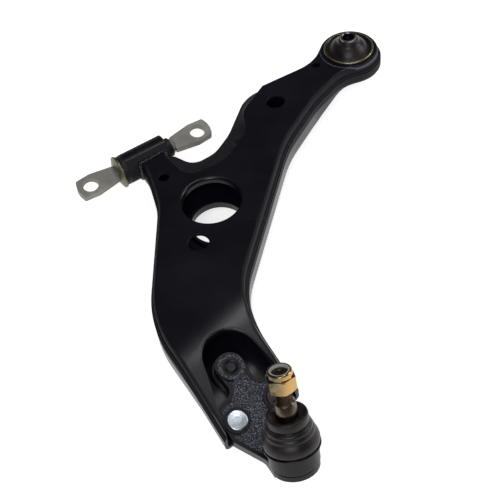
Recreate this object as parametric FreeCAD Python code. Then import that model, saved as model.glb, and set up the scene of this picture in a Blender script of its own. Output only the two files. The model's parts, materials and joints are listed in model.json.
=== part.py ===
"""Left-hand front lower suspension control arm: pressed two-shell box arm, bushes and ball joint.

Frame, millimetres: the origin is the centre of the rear bush, +X runs forward along the swing axis through
the front bush, +Y points outboard to the ball joint and +Z is up along the rear bush bore.
"""
import FreeCAD
import Part
import math
import os

V = FreeCAD.Vector
ORIGIN = V(0, 0, 0)
AXIS_X = V(1, 0, 0)
AXIS_Z = V(0, 0, 1)

# Pressed shells
SHEET = 3.0             # sheet thickness of both shells
TOP_Z = 10.0            # upper face of the arm above the swing axis
WEB_Z = -25.0           # lower face of the arm
SEAM_DEPTH = 10.0       # the lower shell's wall ends this far under the upper face
LAP = 4.0               # the upper shell's flange goes on this far inside the lower shell
TOP_EDGE_R = 3.2        # outer bend of the upper shell
WEB_EDGE_R = 5.0        # outer bend of the lower shell
ARM_END_Y = 314.0       # the shells are cut off square here
WALL_FRONT_X = 348.0    # straight outer wall near the ball joint, front side
WALL_REAR_X = 269.3     # the same, rear side

# Slope of the outer end
BEND_V = 147.0          # where the upper face starts to slope, along the slope direction
END_DROP = 17.0         # degrees downward
END_SKEW = 14.4         # degrees between the bend line and the swing axis
END_DEPTH = 24.0        # depth of the arm under its upper face on the slope
TOP_BEND_R = 95.0
WEB_BEND_R = 60.0

# Rear eye and its bush
EYE_R = 34.0            # outer wall of the eye
EYE_Z = -9.0            # lower face of the arm at the eye
NECK_Z = -11.0          # the same at the neck that carries the front bush
BORE_R = 26.4           # bore of the eye
EYE_MOUTH_R = 1.3       # rounded mouth of the bore
REAR_RING_TOP = 12.5
REAR_RING_BOTTOM = -14.0
REAR_RING_WALL = 2.6
REAR_SLEEVE_R = 8.6
REAR_BORE_R = 6.2       # for a 12 mm bolt
REAR_SLEEVE_TOP = 27.0
REAR_SLEEVE_BOTTOM = -22.0

# Front bush on the swing axis
TUBE_R = 15.5
TUBE_WALL = 2.6
TUBE_X0 = 228.0
TUBE_X1 = 274.0
NECK_X0 = TUBE_X0 + 6   # sides of the neck that carries the tube
NECK_X1 = TUBE_X1 - 12
FRONT_SLEEVE_WALL = 1.2
RUBBER_FLANGE = 5.0     # thickness of the flange at the fore end
RUBBER_TAIL = 6.0       # length of the narrow collar at the aft end
RUBBER_TAIL_R = 10.0
STOP_WASHER_R = 16.8
STOP_WASHER_T = 2.2
STOP_WASHER_DISH = 2.4

# Bar pin
PIN_R = 8.0
PIN_MID_X = 251.5
PIN_HOLE_PITCH = 123.0
PIN_HOLE_R = 8.0
PIN_BLADE_T = 8.0
PIN_BLADE_W = 23.0
PIN_NECK_W = 18.0
PIN_END = 13.5          # blade beyond the hole centre
PIN_ROLL = 14.0         # degrees, the blades lean outboard

# Holes of the shells
BIG_HOLE = (229.6, 97.3)
BIG_TOP_R = 28.5
BIG_WEB_R = 24.4
LIP = 7.0               # height of the turned-in lips
LIP_MOUTH_R = 3.0
TOP_HOLES = ((266.2, 135.8, 10.1), (251.5, 42.9, 5.7), (106.4, 20.5, 9.65), (41.7, -0.6, 4.5))

# Bolted ball joint bracket, in the frame of the sloped end
TIP_U = 363.2           # tip bolt along the bend line
TIP_S = 169.0           # tip bolt along the slope
BRACKET_TURN = 12.9     # degrees from the slope direction to the bracket's own length
STUD_ALONG = 42.7
STUD_ACROSS = (21.5, -18.5)
PLATE_T = 10.0
PAD_R = 16.0            # raised pad of the lower shell under the tip
TIP_BOSS_TOP = 9.0      # depths under the arm's upper face
STUD_BOSS_TOP = 9.6
STUD_HEAD_TOP = 8.0
TIP_BOSS_R = 12.0
STUD_BOSS_R = 12.5
STUD_HEAD_T = 6.0
STUD_HEAD_R = 8.9
STUD_R = 5.0
BOLT_R = 5.2
HOLE_CLEAR = 0.4
PANEL_SINK = 0.8        # rough panel between the smooth borders
FIXING_AF = 16.0        # across flats of the bolt head and the nuts under the arm
FIXING_H = 8.5
FIXING_FLANGE_R = 10.5
FIXING_FLANGE_T = 1.8
THREAD_OUT = 3.0        # thread showing beyond the nuts

# Ball joint, heights measured from the closed end of the housing along its axis
JOINT_ACROSS = 1.1      # closed end of the housing, measured from the tip bolt
JOINT_ALONG = 100.2
JOINT_DEPTH = 11.0
JOINT_LEAN = 35.75      # degrees, the stud leans back over the arm
JOINT_SIDE_LEAN = 5.1   # degrees, and to the rear
HOUSING_R = 21.5
HOUSING_H = 20.5
NECK_R = 19.6           # neck that the gaiter grips
NECK_TOP = 26.0
BALL_R = 12.5
BALL_H = 19.0
BALL_CLEAR = 0.06
SEAT_T = 2.2
SEAT_TOP = 25.0
SEAT_H0 = 4.9
CAP_H0 = 0.8            # the housing's edge is rolled over the cap up to here
CAP_T = 2.6
CAP_R = 18.6
WASHER_T = 1.2
WASHER_R = 13.0
STUD_NECK_R = 7.0
TAPER_H0 = 53.0         # seat of the taper, nearest the gaiter
TAPER_H1 = 67.0
TAPER_R = 9.6
TAPER_RATIO = 0.125     # diameter lost per length
THREAD_R = 7.0
STUD_H = 95.5
LOCK_NUT_H0 = 77.0
LOCK_NUT_HEX = 14.0
LOCK_NUT_COLLAR = 6.0
LOCK_NUT_AF = 22.0
LOCK_NUT_COLLAR_R = 10.3
INSERT_T = 2.6

# Gaiter
BOOT_T = 1.8
BOOT_FOOT_H = 21.0
BOOT_FOOT_R = 23.4
BOOT_TOP_H = 53.0
BOOT_TOP_R = 17.0
BOOT_RING_H0 = 23.0     # lower clamp ring
BOOT_RING_H1 = 45.5     # upper clamp ring
RING_WIRE_R = 0.9
SOFT_CLEAR = 0.15       # soft pieces beside pieces that move against them
SIDE_CLEAR = 0.3        # faces that turn past each other

# Welds
BEAD_R = 2.4
SEAM_BEAD = 2.0


def slope_axes():
    skew = math.radians(END_SKEW)
    drop = math.radians(END_DROP)
    along = V(math.cos(skew), math.sin(skew), 0)
    down = V(-math.sin(skew) * math.cos(drop), math.cos(skew) * math.cos(drop), -math.sin(drop))
    return along, down, along.cross(down)


BEND_LINE, DOWN_SLOPE, SLOPE_UP = slope_axes()
TOP_OFFSET = SLOPE_UP.dot(V(-math.sin(math.radians(END_SKEW)) * BEND_V,
                            math.cos(math.radians(END_SKEW)) * BEND_V, TOP_Z))


def slope_point(u, s, depth):
    """Point at u along the bend line and s down the slope, at a depth under the upper face."""
    return BEND_LINE * u + DOWN_SLOPE * s + SLOPE_UP * (TOP_OFFSET - depth)


def bracket_axes():
    turn = math.radians(BRACKET_TURN)
    along = DOWN_SLOPE * math.cos(turn) + BEND_LINE * math.sin(turn)
    return along, BEND_LINE * math.cos(turn) - DOWN_SLOPE * math.sin(turn)


ALONG, ACROSS = bracket_axes()
SEAT_DEPTH = END_DEPTH - SHEET


def bracket_point(across, along, depth):
    """Point on the bracket, measured from the tip bolt."""
    return slope_point(TIP_U, TIP_S, depth) + ACROSS * across + ALONG * along


def joint_axis():
    lean = math.radians(JOINT_LEAN)
    side = math.radians(JOINT_SIDE_LEAN)
    return (SLOPE_UP * math.cos(lean) - ALONG * math.sin(lean)) * math.cos(side) - ACROSS * math.sin(side)


JOINT_BASE = bracket_point(JOINT_ACROSS, JOINT_ALONG, JOINT_DEPTH)
JOINT_AXIS = joint_axis()


def joint_point(height):
    """Point on the ball joint's axis, from the closed end of the housing."""
    return JOINT_BASE + JOINT_AXIS * height


def fixing_cylinder(across, along, radius, depth0, depth1):
    return cylinder(radius, bracket_point(across, along, depth0), bracket_point(across, along, depth1))


def stud_places():
    return [(across, STUD_ALONG) for across in STUD_ACROSS]


def corner_arc(before, at, after, radius):
    """Ends and middle of the arc that rounds one corner."""
    to_before = (before - at).normalize()
    to_after = (after - at).normalize()
    half = to_before.getAngle(to_after) / 2
    reach = radius / math.tan(half)
    middle = (to_before + to_after).normalize() * (radius / math.sin(half) - radius)
    return at + to_before * reach, at + middle, at + to_after * reach


def rounded_wire(corners):
    """Closed wire through (point, radius) corners, each rounded by an arc tangent to both sides."""
    count = len(corners)
    arcs = []
    for i in range(count):
        at, radius = corners[i]
        if radius > 0:
            arcs.append(corner_arc(corners[i - 1][0], at, corners[(i + 1) % count][0], radius))
        else:
            arcs.append((at, None, at))
    edges = []
    for i in range(count):
        start, middle, end = arcs[i]
        if middle is not None:
            edges.append(Part.Arc(start, middle, end).toShape())
        edges.append(Part.makeLine(end, arcs[(i + 1) % count][0]))
    return Part.Wire(edges)


def flat(corners, z=0.0):
    return [(V(x, y, z), r) for x, y, r in corners]


def moved_in(wire, distance):
    """The same outline with all its sides moved inward."""
    if distance == 0:
        return wire
    return wire.makeOffset2D(-distance)


def prism(wire, vector):
    return Part.Face(wire).extrude(vector)


def revolved(profile, base=ORIGIN, axis=AXIS_Z):
    """Solid of revolution from (radius, height, rounding) corners about an axis."""
    wire = rounded_wire([(V(r, 0, h), rounding) for r, h, rounding in profile])
    solid = Part.Face(wire).revolve(ORIGIN, AXIS_Z, 360)
    return placed(solid, base, axis)


def placed(shape, base, axis):
    """Carry a shape modelled about the origin and +Z to a base point and axis."""
    shape = shape.copy()
    shape.Placement = FreeCAD.Placement(base, FreeCAD.Rotation(AXIS_Z, axis))
    return shape


def on_joint(profile):
    """Solid of revolution of the ball joint, its heights measured from the closed end."""
    return revolved(profile, JOINT_BASE, JOINT_AXIS)


def on_pin(profile):
    """Solid of revolution about the swing axis, from (radius, X, rounding) corners."""
    return revolved(profile, ORIGIN, AXIS_X)


def hexagon(flats, height):
    """Hexagonal prism with its corners turned off at both ends."""
    far = flats / math.sqrt(3)
    corners = [(V(far * math.cos(i * math.pi / 3), far * math.sin(i * math.pi / 3), 0), 0) for i in range(6)]
    turned = (far - flats / 2) * 0.5
    edge = flats / 2 - 0.2
    cone = revolved([(0, 0, 0), (edge, 0, 0), (far, turned, 0), (far, height - turned, 0),
                     (edge, height, 0), (0, height, 0)])
    return prism(rounded_wire(corners), V(0, 0, height)).common(cone)


def cylinder(radius, base, end):
    return Part.makeCylinder(radius, (end - base).Length, base, end - base)


def tangent_corners(radius, first, last, count):
    """Corners of a polygon round a circle, between two tangent directions in degrees."""
    step = (last - first) / count
    far = radius / math.cos(math.radians(step / 2))
    corners = []
    for i in range(count):
        angle = math.radians(first + step * (i + 0.5))
        corners.append((far * math.cos(angle), far * math.sin(angle), radius))
    return corners


def arm_outline():
    """Outer wall of the arm in plan, seen from above, starting at the neck of the front bush."""
    neck = [(NECK_X1, -6, 0), (NECK_X1 + 0.5, 27, 60), (275.5, 71, 80), (WALL_FRONT_X - 0.4, 185, 130)]
    end = [(WALL_FRONT_X + 1, ARM_END_Y + 30, 0), (WALL_REAR_X, ARM_END_Y + 30, 0)]
    rear = [(WALL_REAR_X, 213.7, 97), (128, 75.3, 150), (71.4, 43, 100), (28.1, 27.7, 40)]
    eye = tangent_corners(EYE_R, 75, 310, 3)
    bay = [(41, -10, 45), (123, -14.5, 40), (166, 23, 60), (190, 36.5, 30), (216, 37.5, 16), (NECK_X0, -6, 0)]
    return rounded_wire(flat(neck + end + rear + eye + bay))


def side_line(depth, bend_v, radius):
    """Corners of a line parallel to the upper face: level, then down the slope."""
    drop = math.radians(END_DROP)
    level = TOP_Z - depth
    far = 400.0
    corners = [(-200.0, level, 0), (bend_v, level, radius)]
    corners.append((far, level - (far - bend_v) * math.tan(drop), 0))
    return corners


def side_prism(corners):
    """Prism along the bend line from (distance, height, rounding) corners."""
    skew = math.radians(END_SKEW)
    outward = V(-math.sin(skew), math.cos(skew), 0)
    start = BEND_LINE * -200
    wire = rounded_wire([(start + outward * v + AXIS_Z * z, r) for v, z, r in corners])
    return prism(wire, BEND_LINE * 700)


def bend_shift(depth):
    """A parallel line bends further inward the deeper it lies."""
    return depth * math.tan(math.radians(END_DROP / 2))


def below(depth):
    """Everything deeper than a depth under the upper face."""
    line = side_line(depth, BEND_V - bend_shift(depth), TOP_BEND_R - depth)
    return side_prism(line + [(400, -300, 0), (-200, -300, 0)])


def web_bend_v():
    drop = math.radians(END_DROP)
    on_slope = TOP_Z - END_DEPTH / math.cos(drop)
    return BEND_V + (on_slope - WEB_Z) / math.tan(drop)


def above_web(rise):
    """Everything above the lower face of the arm, raised by a thickness."""
    line = side_line(TOP_Z - WEB_Z - rise, web_bend_v() + bend_shift(rise), WEB_BEND_R + rise)
    return side_prism(line + [(400, 200, 0), (-200, 200, 0)])


def relief(level, reach, slope_end, rise, x=0.0):
    """Space under a stepped-up part of the arm, turned about an upright axis on the swing axis."""
    deep = WEB_Z - 60
    profile = [(0, deep, 0), (0, level + rise, 0), (reach - rise, level + rise, 30),
               (slope_end - rise, WEB_Z + rise, 40), (slope_end + 40, WEB_Z - 3 + rise, 0),
               (slope_end + 40, deep, 0)]
    return revolved(profile, V(x, 0, 0))


def underside(rise):
    """Space under the arm at the eye and at the neck, where the web comes up to meet them."""
    return [relief(EYE_Z, EYE_R + 6, 98, rise), relief(NECK_Z, 34, 70, rise, PIN_MID_X)]


def ruled_solid(foot, head):
    """Solid between two wires with the same number of edges, every pair of edges joined by one ruled face."""
    faces = [Part.Face(foot), Part.Face(head)]
    for low, high in zip(foot.Edges, head.Edges):
        faces.append(Part.makeRuledSurface(low, high))
    return Part.Solid(Part.makeShell(faces))


def bay_flank(lower):
    """Space over the sloping flank between the two bushes, ruled from the seam up to the crease."""
    outer = [(300, -150, 0), (60, -150, 0), (96, -15, 0), (123, -14.5, 40), (166, 23, 60), (190, 36.5, 30),
             (216, 37.5, 16), (NECK_X0, -6, 0)]
    crease = [(300, -150, 0), (60, -150, 0), (96, -13, 0), (143, 13, 25), (152, 42, 30), (196, 63, 60),
              (233, 56, 12), (NECK_X0 + 5, -5, 0)]
    foot = rounded_wire(flat(outer, TOP_Z - SEAM_DEPTH - lower))
    head = rounded_wire(flat(crease, TOP_Z - lower))
    return ruled_solid(foot, head).fuse(prism(head, AXIS_Z * 40))


def ring_edges(shape, radius, z, x=0.0, y=0.0):
    """Circular edges of a radius round a vertical axis, at a height."""
    found = []
    for edge in shape.Edges:
        curve = edge.Curve
        if isinstance(curve, Part.Circle) and abs(curve.Radius - radius) < 0.01:
            if (curve.Center - V(x, y, z)).Length < 0.01:
                found.append(edge)
    return found


def collar(x, y, radius, z0, z1):
    """Ring of sheet round a hole."""
    return cylinder(radius + SHEET, V(x, y, z0), V(x, y, z1))


def drilled(shape, x, y, radius):
    return shape.cut(cylinder(radius, V(x, y, -80), V(x, y, 60)))


def arch_wire(spread):
    """Arch-shaped opening of the upper shell over the ball joint bracket."""
    corners = [(WALL_FRONT_X + 5 + spread, 340, 0), (324 + spread, 232 - spread, 24 + spread),
               (285 - spread, 232 - spread, 24 + spread), (WALL_REAR_X - 3 - spread, 340, 0)]
    return rounded_wire(flat(corners, -80))


def rim_edges(solid, up):
    """Edges where the upper (up = 1) or lower (up = -1) skin meets the upright walls."""
    seen = {}
    for face in solid.Faces:
        u0, u1, v0, v1 = face.ParameterRange
        tilt = face.normalAt((u0 + u1) / 2, (v0 + v1) / 2).z * up
        for edge in face.Edges:
            seen.setdefault(edge.hashCode(), [edge]).append(tilt)
    rims = []
    for edge, *tilts in seen.values():
        if len(tilts) == 2 and max(tilts) > 0.6 and abs(min(tilts, key=abs)) < 0.05:
            rims.append(edge)
    return rims


def walled(inset):
    """Upright prism inside the arm's outline."""
    solid = prism(moved_in(arm_outline(), inset), AXIS_Z * 100)
    solid.translate(V(0, 0, -80))
    return solid


def upper_body(inset, depth, edge_r=0):
    """Solid under the upper skin, with its rounded edge and the flank of the bay."""
    body = walled(inset).common(below(depth))
    if edge_r > 0:
        body = body.makeFillet(edge_r, rim_edges(body, 1))
    return body.cut(bay_flank(depth))


def lower_body(inset, rise, edge_r):
    """Solid over the lower skin, with its rounded edge, stepped up at the eye and the neck."""
    body = walled(inset).common(above_web(rise))
    body = body.makeFillet(edge_r, rim_edges(body, -1))
    return body.cut(underside(rise))


def beyond_end():
    return Part.makeBox(400, 200, 300, V(100, ARM_END_Y, -150))


def tube_space():
    return cylinder(TUBE_R, V(TUBE_X0 - 20, 0, 0), V(TUBE_X1 + 20, 0, 0))


def tip_pad_space(wall):
    """Hollow of the pad that is pressed up under the tip of the bracket."""
    return fixing_cylinder(0, 0, PAD_R - SHEET + wall, END_DEPTH - wall, 60)


def tip_pad():
    return tip_pad_space(SHEET).common(above_web(0)).cut(tip_pad_space(0))


def top_shell():
    outer = upper_body(SHEET, 0, TOP_EDGE_R)
    shell = outer.cut(upper_body(2 * SHEET, SHEET))
    lip = outer.common(prism(arch_wire(SHEET), AXIS_Z * 120)).cut(below(LIP))
    x, y = BIG_HOLE
    shell = shell.fuse([collar(x, y, BIG_TOP_R, TOP_Z - LIP, TOP_Z), lip,
                        collar(0, 0, BORE_R, TOP_Z - SEAM_DEPTH, TOP_Z)])
    lower_collar = cylinder(BORE_R + SHEET, V(0, 0, EYE_Z), V(0, 0, TOP_Z - SEAM_DEPTH))
    shell = shell.cut([below(SEAM_DEPTH + LAP), prism(arch_wire(0), AXIS_Z * 120), tube_space(), beyond_end(),
                       lower_collar])
    shell = drilled(shell, x, y, BIG_TOP_R)
    shell = drilled(shell, 0, 0, BORE_R)
    shell = shell.removeSplitter()
    shell = shell.makeFillet(LIP_MOUTH_R, ring_edges(shell, BIG_TOP_R, TOP_Z, x, y))
    shell = shell.makeFillet(EYE_MOUTH_R, ring_edges(shell, BORE_R, TOP_Z))
    for hole_x, hole_y, radius in TOP_HOLES:
        shell = drilled(shell, hole_x, hole_y, radius)
    return shell


def bottom_shell():
    shell = lower_body(0, 0, WEB_EDGE_R).cut(lower_body(SHEET, SHEET, WEB_EDGE_R - SHEET))
    x, y = BIG_HOLE
    shell = shell.common(below(SEAM_DEPTH))
    shell = shell.fuse([collar(x, y, BIG_WEB_R, WEB_Z, WEB_Z + LIP),
                        collar(0, 0, BORE_R, EYE_Z, TOP_Z - SEAM_DEPTH)])
    shell = shell.cut([tube_space(), beyond_end(), tip_pad_space(0)])
    shell = shell.fuse(tip_pad())
    shell = drilled(shell, x, y, BIG_WEB_R)
    shell = drilled(shell, 0, 0, BORE_R)
    shell = shell.cut(fixing_cylinder(0, 0, BOLT_R + HOLE_CLEAR, 0, 60))
    for across, along in stud_places():
        shell = shell.cut(fixing_cylinder(across, along, STUD_R + HOLE_CLEAR, 0, 60))
    return shell.removeSplitter()


def seam_welds():
    """Bead on the edge of the lower shell, against the wall of the upper one."""
    body = walled(SHEET - SEAM_BEAD).common(below(SEAM_DEPTH - SEAM_BEAD))
    body = body.makeFillet(SEAM_BEAD * 0.9, rim_edges(body, 1))
    return body.cut([walled(SHEET), below(SEAM_DEPTH), bay_flank(0), beyond_end(), tube_space()])


def front_bush_tube():
    return on_pin([(TUBE_R - TUBE_WALL, TUBE_X0, 0), (TUBE_R, TUBE_X0, 0), (TUBE_R, TUBE_X1, 0),
                   (TUBE_R - TUBE_WALL, TUBE_X1, 0)])


def tube_welds():
    """Beads along the upper and lower joint between the tube and the neck of the arm."""
    lower = lower_body(0, 0, WEB_EDGE_R).common(below(SEAM_DEPTH))
    beads = []
    for z, x0, x1 in ((TOP_Z, NECK_X0 + 2, NECK_X1), (NECK_Z, NECK_X0 + 4, NECK_X1 - 2)):
        y = math.sqrt(TUBE_R ** 2 - z ** 2)
        bead = cylinder(BEAD_R, V(x0, y, z), V(x1, y, z))
        bead = bead.fuse([Part.makeSphere(BEAD_R, V(x0, y, z)), Part.makeSphere(BEAD_R, V(x1, y, z))])
        beads.append(bead.cut([tube_space(), upper_body(SHEET, 0, TOP_EDGE_R), lower]))
    return Part.Compound(beads)


def front_bush_outer_sleeve():
    outer = TUBE_R - TUBE_WALL
    inner = outer - FRONT_SLEEVE_WALL
    return on_pin([(inner, TUBE_X0, 0), (outer, TUBE_X0, 0), (outer, TUBE_X1, 0), (inner, TUBE_X1, 0)])


def front_bush_rubber():
    outer = TUBE_R - TUBE_WALL - FRONT_SLEEVE_WALL
    inner = PIN_R + SOFT_CLEAR
    return on_pin([(inner, TUBE_X0 - RUBBER_TAIL, 0), (RUBBER_TAIL_R, TUBE_X0 - RUBBER_TAIL, 0.8),
                   (RUBBER_TAIL_R, TUBE_X0 - 1, 0), (outer, TUBE_X0, 0), (outer, TUBE_X1, 0),
                   (TUBE_R - 0.2, TUBE_X1, 0), (TUBE_R - 0.2, TUBE_X1 + RUBBER_FLANGE, 1.5),
                   (inner, TUBE_X1 + RUBBER_FLANGE, 0)])


def pin_blade(sign):
    """Flattened, bored end of the bar pin, towards +X or -X of its middle."""
    half_w = PIN_BLADE_W / 2
    neck_w = PIN_NECK_W / 2
    hole = PIN_HOLE_PITCH / 2
    start = hole - 24
    corners = [(start, -neck_w, 2), (start + 10, -neck_w, 20), (hole - 4, -half_w, 20),
               (hole + PIN_END, -half_w + 1.5, 6), (hole + PIN_END + 1.5, 0, 30),
               (hole + PIN_END, half_w - 1.5, 6), (hole - 4, half_w, 20), (start + 10, neck_w, 20),
               (start, neck_w, 2)]
    wire = rounded_wire([(V(sign * x, y, -PIN_BLADE_T / 2), r) for x, y, r in corners])
    blade = prism(wire, V(0, 0, PIN_BLADE_T))
    rims = [e for e in blade.Edges if abs(e.Vertexes[0].Z - e.Vertexes[-1].Z) < 0.01]
    blade = blade.makeChamfer(0.6, rims)
    bore = cylinder(PIN_HOLE_R, V(sign * hole, 0, -20), V(sign * hole, 0, 20))
    return blade.cut(bore)


def bar_pin():
    reach = PIN_HOLE_PITCH / 2 - 23
    half_t = PIN_BLADE_T / 2
    bar = revolved([(0, -reach - 8, 0), (half_t, -reach - 8, 2), (PIN_R, -reach, 6), (PIN_R, reach, 6),
                    (half_t, reach + 8, 2), (0, reach + 8, 0)], ORIGIN, AXIS_X)
    pin = bar.fuse([pin_blade(1), pin_blade(-1)])
    pin.rotate(ORIGIN, AXIS_X, -PIN_ROLL)
    pin.translate(V(PIN_MID_X, 0, 0))
    return pin.removeSplitter()


def stop_washer():
    x = TUBE_X1 + RUBBER_FLANGE + SIDE_CLEAR
    inner = PIN_R
    return on_pin([(inner, x + STOP_WASHER_DISH, 0), (inner + 3, x + STOP_WASHER_DISH, 2),
                   (STOP_WASHER_R, x, 0.4), (STOP_WASHER_R, x + STOP_WASHER_T, 0.6),
                   (inner + 3, x + STOP_WASHER_DISH + STOP_WASHER_T, 2),
                   (inner, x + STOP_WASHER_DISH + STOP_WASHER_T, 0)])


def rear_bush_outer_sleeve():
    inner = BORE_R - REAR_RING_WALL
    return revolved([(inner, REAR_RING_BOTTOM, 0), (BORE_R, REAR_RING_BOTTOM, 0.8), (BORE_R, REAR_RING_TOP, 1.2),
                     (inner, REAR_RING_TOP, 0.6)])


def rear_bush_rubber():
    outer = BORE_R - REAR_RING_WALL
    inner = REAR_SLEEVE_R + SOFT_CLEAR
    return revolved([(inner, REAR_SLEEVE_BOTTOM + 4, 0), (inner + 2.5, REAR_SLEEVE_BOTTOM + 4, 1.5),
                     (outer - 4, REAR_RING_BOTTOM + 4, 4), (outer, REAR_RING_BOTTOM + 3, 0),
                     (outer, REAR_RING_TOP - 3, 0), (outer - 3, REAR_RING_TOP - 3.5, 4),
                     (inner + 3, REAR_SLEEVE_TOP - 5, 4), (inner, REAR_SLEEVE_TOP - 3.5, 0)])


def rear_bush_inner_sleeve():
    return revolved([(REAR_BORE_R, REAR_SLEEVE_BOTTOM, 0.5), (REAR_SLEEVE_R, REAR_SLEEVE_BOTTOM, 0.8),
                     (REAR_SLEEVE_R, REAR_SLEEVE_TOP, 0.8), (REAR_BORE_R, REAR_SLEEVE_TOP, 0.5)])


def bracket_outline(depth, spread):
    """Forged plate in plan: tip lobe, waist, two stud lobes and the run into the housing."""
    front, back = STUD_ACROSS
    half = [(TIP_BOSS_R + 2, -TIP_BOSS_R - 2, TIP_BOSS_R + 0.5), (TIP_BOSS_R - 0.5, 20, 8)]
    corners = [(x, y, r) for x, y, r in half]
    corners += [(front + STUD_BOSS_R, 26, 12), (front + STUD_BOSS_R, 57, 12), (19, 84, 12), (19, 98, 0),
                (-19, 98, 0), (-19, 84, 12), (back - STUD_BOSS_R, 57, 12), (back - STUD_BOSS_R, 26, 12)]
    corners += [(-x, y, r) for x, y, r in reversed(half)]
    wire = rounded_wire([(bracket_point(x, y, depth), r) for x, y, r in corners])
    return moved_in(wire, -spread)


def housing_body():
    """Turned outside of the ball housing, with the groove over its rolled edge and the neck of the gaiter."""
    low = HOUSING_R - 0.8
    return on_joint([(0, 0, 0), (low, 0, 1.2), (low, 5.4, 0), (low - 0.8, 6, 0), (HOUSING_R, 7.4, 1),
                     (HOUSING_R, HOUSING_H, 0.8), (NECK_R, HOUSING_H, 0.3), (NECK_R, NECK_TOP, 0.6),
                     (0, NECK_TOP, 0)])


def housing_cavity():
    """Inside of the housing: rolled edge, cap seat, cup bore and the cone that frees the stud."""
    cup = BALL_R + BALL_CLEAR + SEAT_T
    lip = cup - SEAT_T - 0.3
    return on_joint([(0, -1, 0), (CAP_R - 1.6, -1, 0), (CAP_R - 1.6, CAP_H0, 0), (CAP_R, CAP_H0, 0),
                     (CAP_R, CAP_H0 + CAP_T, 0), (cup, CAP_H0 + CAP_T, 0), (cup, SEAT_TOP, 0),
                     (lip, SEAT_TOP, 0), (lip + 2.2, NECK_TOP + 0.5, 0), (0, NECK_TOP + 0.5, 0)])


def ball_joint_housing():
    plate = prism(bracket_outline(SEAT_DEPTH, 0), SLOPE_UP * PLATE_T)
    panel = prism(bracket_outline(SEAT_DEPTH - PLATE_T + PANEL_SINK, -3.5), SLOPE_UP * 5)
    bosses = [fixing_cylinder(0, 0, TIP_BOSS_R, SEAT_DEPTH, TIP_BOSS_TOP)]
    for across, along in stud_places():
        bosses.append(fixing_cylinder(across, along, STUD_BOSS_R - 1, SEAT_DEPTH, STUD_BOSS_TOP))
    forging = plate.cut(panel).fuse(bosses + [housing_body()])
    forging = forging.cut([housing_cavity(), fixing_cylinder(0, 0, BOLT_R, 0, 40)])
    for across, along in stud_places():
        forging = forging.cut([fixing_cylinder(across, along, STUD_R, 0, 40),
                               fixing_cylinder(across, along, STUD_HEAD_R, 0, STUD_HEAD_TOP + STUD_HEAD_T)])
    return forging.removeSplitter()


def end_cap():
    return on_joint([(0, CAP_H0, 0), (CAP_R, CAP_H0, 0), (CAP_R, CAP_H0 + CAP_T, 0), (8, CAP_H0 + CAP_T, 0),
                     (0, CAP_H0 + CAP_T, 0)])


def preload_washer():
    h = CAP_H0 + CAP_T + SOFT_CLEAR
    return on_joint([(6, h, 0), (WASHER_R, h, 0), (WASHER_R, h + WASHER_T, 0), (6, h + WASHER_T, 0)])


def ball_seat():
    outer = BALL_R + BALL_CLEAR + SEAT_T
    cup = on_joint([(0, SEAT_H0, 0), (outer, SEAT_H0, 0), (outer, SEAT_TOP, 0), (0, SEAT_TOP, 0)])
    return cup.cut(Part.makeSphere(BALL_R + BALL_CLEAR, joint_point(BALL_H)))


def ball_stud():
    taper_end = TAPER_R - (TAPER_H1 - TAPER_H0) * TAPER_RATIO / 2
    shank = on_joint([(0, BALL_H, 0), (STUD_NECK_R, BALL_H, 0), (STUD_NECK_R, BALL_H + 19, 8),
                      (TAPER_R, TAPER_H0 - 5, 3), (TAPER_R, TAPER_H0, 0), (taper_end, TAPER_H1, 0.5),
                      (THREAD_R - 0.8, TAPER_H1 + 1, 0), (THREAD_R, TAPER_H1 + 2.5, 0),
                      (THREAD_R, STUD_H - 1.2, 0), (THREAD_R - 1.2, STUD_H, 0), (0, STUD_H, 0)])
    return shank.fuse(Part.makeSphere(BALL_R, joint_point(BALL_H)))


def lock_nut():
    nut = hexagon(LOCK_NUT_AF, LOCK_NUT_HEX)
    top = LOCK_NUT_HEX + LOCK_NUT_COLLAR
    nut = nut.fuse(revolved([(0, LOCK_NUT_HEX - 1, 0), (LOCK_NUT_COLLAR_R, LOCK_NUT_HEX - 1, 0),
                             (LOCK_NUT_COLLAR_R, top, 1.6), (0, top, 0)]))
    bore = revolved([(0, -1, 0), (THREAD_R, -1, 0), (THREAD_R, top - INSERT_T - 0.6, 0),
                     (LOCK_NUT_COLLAR_R - 1.6, top - INSERT_T - 0.6, 0), (LOCK_NUT_COLLAR_R - 1.6, top + 1, 0),
                     (0, top + 1, 0)])
    return placed(nut.cut(bore), joint_point(LOCK_NUT_H0), JOINT_AXIS)


def nylon_insert():
    base = LOCK_NUT_H0 + LOCK_NUT_HEX + LOCK_NUT_COLLAR - INSERT_T - 0.6
    outer = LOCK_NUT_COLLAR_R - 1.6
    return on_joint([(THREAD_R, base, 0), (outer, base, 0), (outer, base + INSERT_T, 0.6),
                     (THREAD_R, base + INSERT_T, 0)])


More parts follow.
